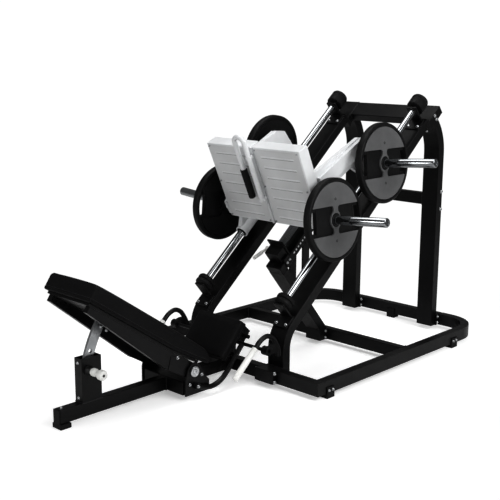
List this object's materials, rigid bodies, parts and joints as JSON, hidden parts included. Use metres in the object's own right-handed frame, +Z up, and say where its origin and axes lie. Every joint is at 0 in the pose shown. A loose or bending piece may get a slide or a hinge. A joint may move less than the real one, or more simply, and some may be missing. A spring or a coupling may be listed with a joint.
{
  "type": "leg press",
  "caption": "Plate-loaded inclined leg press with a reclining back rest, small seat, sliding foot platform on guide rods, weight horns and plates.",
  "frame": {"origin": "centre of the bounding box on the floor", "axes": "+Z up; +Y along the machine from the head end of the back rest to the rear uprights; +X to the right seen from the head end looking along +Y"},
  "size_m": [1.5434, 2.714, 1.4925],
  "materials": {
    "frame_paint": "satin black powder coat",
    "white_paint": "smooth off-white powder coat",
    "chrome": "polished chrome plating",
    "bare_steel": "zinc plated steel plate",
    "rubber": "matt moulded rubber",
    "grey_rubber": "ribbed grey rubber",
    "plate_rubber": "cast iron in a black rubber coat",
    "upholstery": "black grained vinyl over foam",
    "ivory_plastic": "smooth off-white plastic",
    "black_plastic": "moulded black plastic",
    "grip_rubber": "soft ribbed rubber"
  },
  "bodies": {
    "frame": {"right_side_rail": "frame_paint", "left_side_rail": "frame_paint", "front_crossbar": "frame_paint", "rear_crossbar": "frame_paint", "middle_crossbar": "frame_paint", "right_front_foot": "rubber", "left_front_foot": "rubber", "right_rear_foot": "rubber", "left_rear_foot": "rubber", "rear_middle_foot": "rubber", "centre_beam": "frame_paint", "centre_beam_foot": "rubber", "seat_base": "frame_paint", "right_main_beam": "frame_paint", "left_main_beam": "frame_paint", "right_upright": "frame_paint", "left_upright": "frame_paint", "upright_crossbar": "frame_paint", "top_crossbar": "frame_paint", "right_guide_rod": "chrome", "left_guide_rod": "chrome", "right_lower_bumper": "rubber", "left_lower_bumper": "rubber", "right_upper_bumper": "rubber", "left_upper_bumper": "rubber", "stop_rail": "frame_paint", "stop_strut": "frame_paint", "stop_brace": "frame_paint", "backrest_post": "frame_paint", "pin_housing": "black_plastic", "backrest_pivot": "chrome", "seat_pad": "upholstery", "seat_frame": "frame_paint"},
    "carriage": {"right_foot_panel": "white_paint", "left_foot_panel": "white_paint", "platform_spine": "white_paint", "right_carriage_side": "white_paint", "left_carriage_side": "white_paint", "carriage_crossmember": "white_paint", "right_lower_horn": "chrome", "left_lower_horn": "chrome", "right_upper_horn": "chrome", "left_upper_horn": "chrome"},
    "right_lower_weight": {"right_lower_plate": "plate_rubber"},
    "left_lower_weight": {"left_lower_plate": "plate_rubber"},
    "right_upper_weight": {"right_upper_plate": "plate_rubber"},
    "left_upper_weight": {"left_upper_plate": "plate_rubber"},
    "platform_lever": {"platform_handle": "white_paint", "platform_handle_grip": "grip_rubber"},
    "backrest": {"backrest_pad": "upholstery", "backrest_frame": "frame_paint", "adjuster_bar": "bare_steel"},
    "locking_pin": {"pull_pin": "ivory_plastic"},
    "release": {"release_levers": "frame_paint", "right_lever_grip": "ivory_plastic", "left_lever_grip": "ivory_plastic"},
    "stop": {"stop_block": "frame_paint", "stop_bumper": "grey_rubber"},
    "stop_catch": {"stop_lever": "white_paint"}
  },
  "joints": [
    {"name": "carriage_travel", "type": "slide", "parent": "frame", "child": "carriage", "axis": [0, 0.7623, 0.6472], "range_m": [0, 0.42]},
    {"name": "right_lower_plate_slide", "type": "slide", "parent": "carriage", "child": "right_lower_weight", "axis": [0.9968, 0, 0.0802], "range_m": [0, 0.28]},
    {"name": "left_lower_plate_slide", "type": "slide", "parent": "carriage", "child": "left_lower_weight", "axis": [-0.9968, 0, 0.0802], "range_m": [0, 0.28]},
    {"name": "right_upper_plate_slide", "type": "slide", "parent": "carriage", "child": "right_upper_weight", "axis": [0.9968, 0, 0.0802], "range_m": [0, 0.28]},
    {"name": "left_upper_plate_slide", "type": "slide", "parent": "carriage", "child": "left_upper_weight", "axis": [-0.9968, 0, 0.0802], "range_m": [0, 0.28]},
    {"name": "platform_lever_turn", "type": "hinge", "parent": "carriage", "child": "platform_lever", "pos_m": [0, -0.0144, 1.0466], "axis": [0, -0.4152, 0.9097], "range_deg": [0, 60]},
    {"name": "backrest_tilt", "type": "hinge", "parent": "frame", "child": "backrest", "pos_m": [0, -0.64, 0.147], "axis": [-1, 0, 0], "range_deg": [-9, 4.5]},
    {"name": "pin_pull", "type": "slide", "parent": "frame", "child": "locking_pin", "axis": [1, 0, 0], "range_m": [0, 0.02], "stiffness_N_per_m": 900, "springref_m": -0.006},
    {"name": "release_turn", "type": "hinge", "parent": "frame", "child": "release", "pos_m": [0, -0.295, 0.217], "axis": [-1, 0, 0], "range_deg": [0, 25]},
    {"name": "stop_position", "type": "slide", "parent": "frame", "child": "stop", "axis": [0, 0.7623, 0.6472], "range_m": [-0.035, 0]},
    {"name": "stop_catch_turn", "type": "hinge", "parent": "stop", "child": "stop_catch", "pos_m": [0, 0.1583, 0.6298], "axis": [1, 0, 0], "range_deg": [0, 20]}
  ]
}
